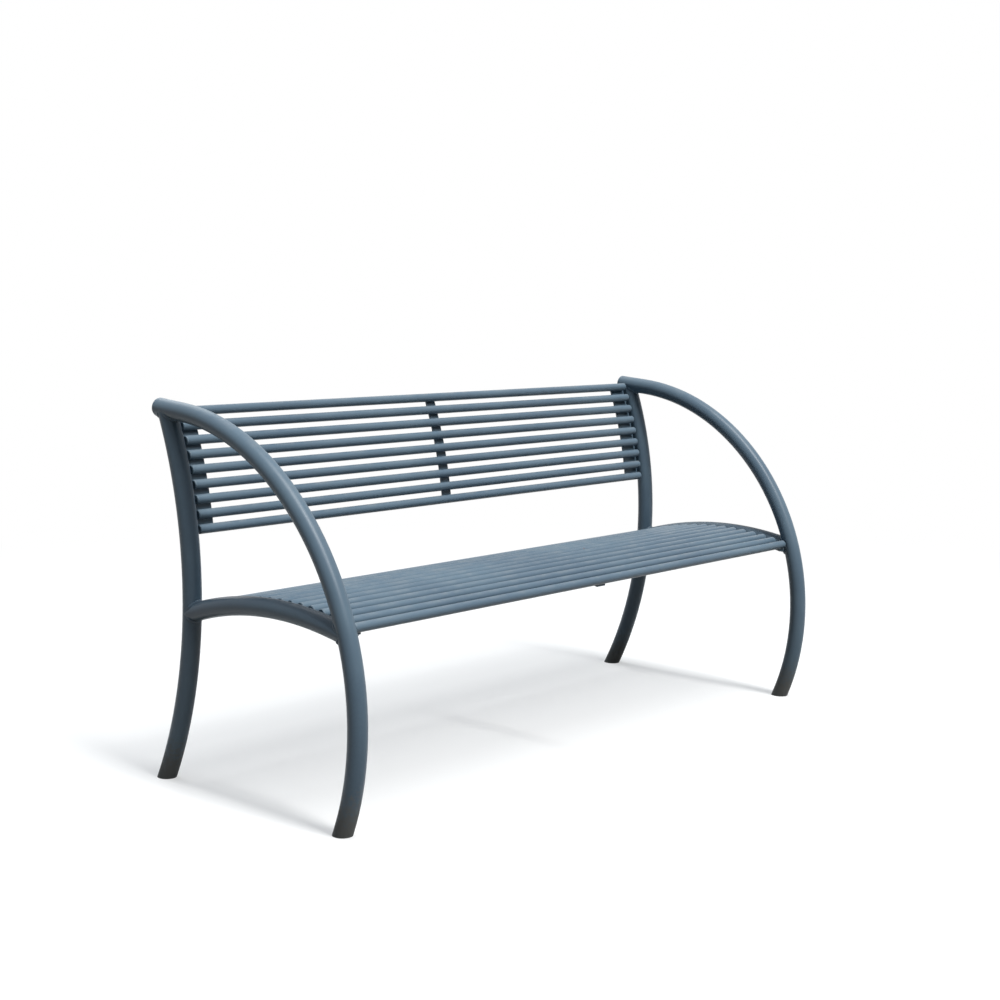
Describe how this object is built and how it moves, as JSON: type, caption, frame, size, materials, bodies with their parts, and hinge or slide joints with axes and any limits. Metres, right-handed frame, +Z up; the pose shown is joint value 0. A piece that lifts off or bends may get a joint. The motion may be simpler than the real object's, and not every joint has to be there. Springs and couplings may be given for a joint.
{
  "type": "painted bench",
  "caption": "Outdoor bench of painted steel tube: two bent tube side frames with arms carry a slatted tube seat and back.",
  "frame": {"origin": "on the ground, in the middle of the bench's length and of its depth", "axes": "+X along the bench, towards the right side frame as seen from the front; the seat faces -Y; +Z up"},
  "size_m": [1.6624, 0.7023, 0.8682],
  "materials": {
    "frame_paint": "satin paint, dark blue grey",
    "tube_paint": "satin paint, dark blue grey",
    "bar_paint": "satin paint, dark blue grey",
    "foot_plug_plastic": "matte black plastic"
  },
  "bodies": {
    "root": {"left_front_leg_and_arm": "frame_paint", "left_rear_post": "frame_paint", "left_seat_support": "frame_paint", "left_arm_end_cap": "frame_paint", "left_front_foot_plug": "foot_plug_plastic", "left_rear_foot_plug": "foot_plug_plastic", "left_seat_bar": "bar_paint", "left_back_plate": "bar_paint", "left_seat_lug": "bar_paint", "left_seat_tube_caps": "tube_paint", "left_back_tube_caps": "tube_paint", "right_front_leg_and_arm": "frame_paint", "right_rear_post": "frame_paint", "right_seat_support": "frame_paint", "right_arm_end_cap": "frame_paint", "right_front_foot_plug": "foot_plug_plastic", "right_rear_foot_plug": "foot_plug_plastic", "right_seat_bar": "bar_paint", "right_back_plate": "bar_paint", "right_seat_lug": "bar_paint", "right_seat_tube_caps": "tube_paint", "right_back_tube_caps": "tube_paint", "seat_tube_01": "tube_paint", "seat_tube_02": "tube_paint", "seat_tube_03": "tube_paint", "seat_tube_04": "tube_paint", "seat_tube_05": "tube_paint", "seat_tube_06": "tube_paint", "seat_tube_07": "tube_paint", "seat_tube_08": "tube_paint", "seat_tube_09": "tube_paint", "seat_tube_10": "tube_paint", "seat_tube_11": "tube_paint", "seat_tube_12": "tube_paint", "seat_tube_13": "tube_paint", "seat_tube_14": "tube_paint", "seat_tube_15": "tube_paint", "back_tube_01": "tube_paint", "back_tube_02": "tube_paint", "back_tube_03": "tube_paint", "back_tube_04": "tube_paint", "back_tube_05": "tube_paint", "back_tube_06": "tube_paint", "back_tube_07": "tube_paint", "back_tube_08": "tube_paint", "back_tube_09": "tube_paint", "seat_centre_bar": "bar_paint", "back_centre_bar": "bar_paint"}
  },
  "joints": []
}
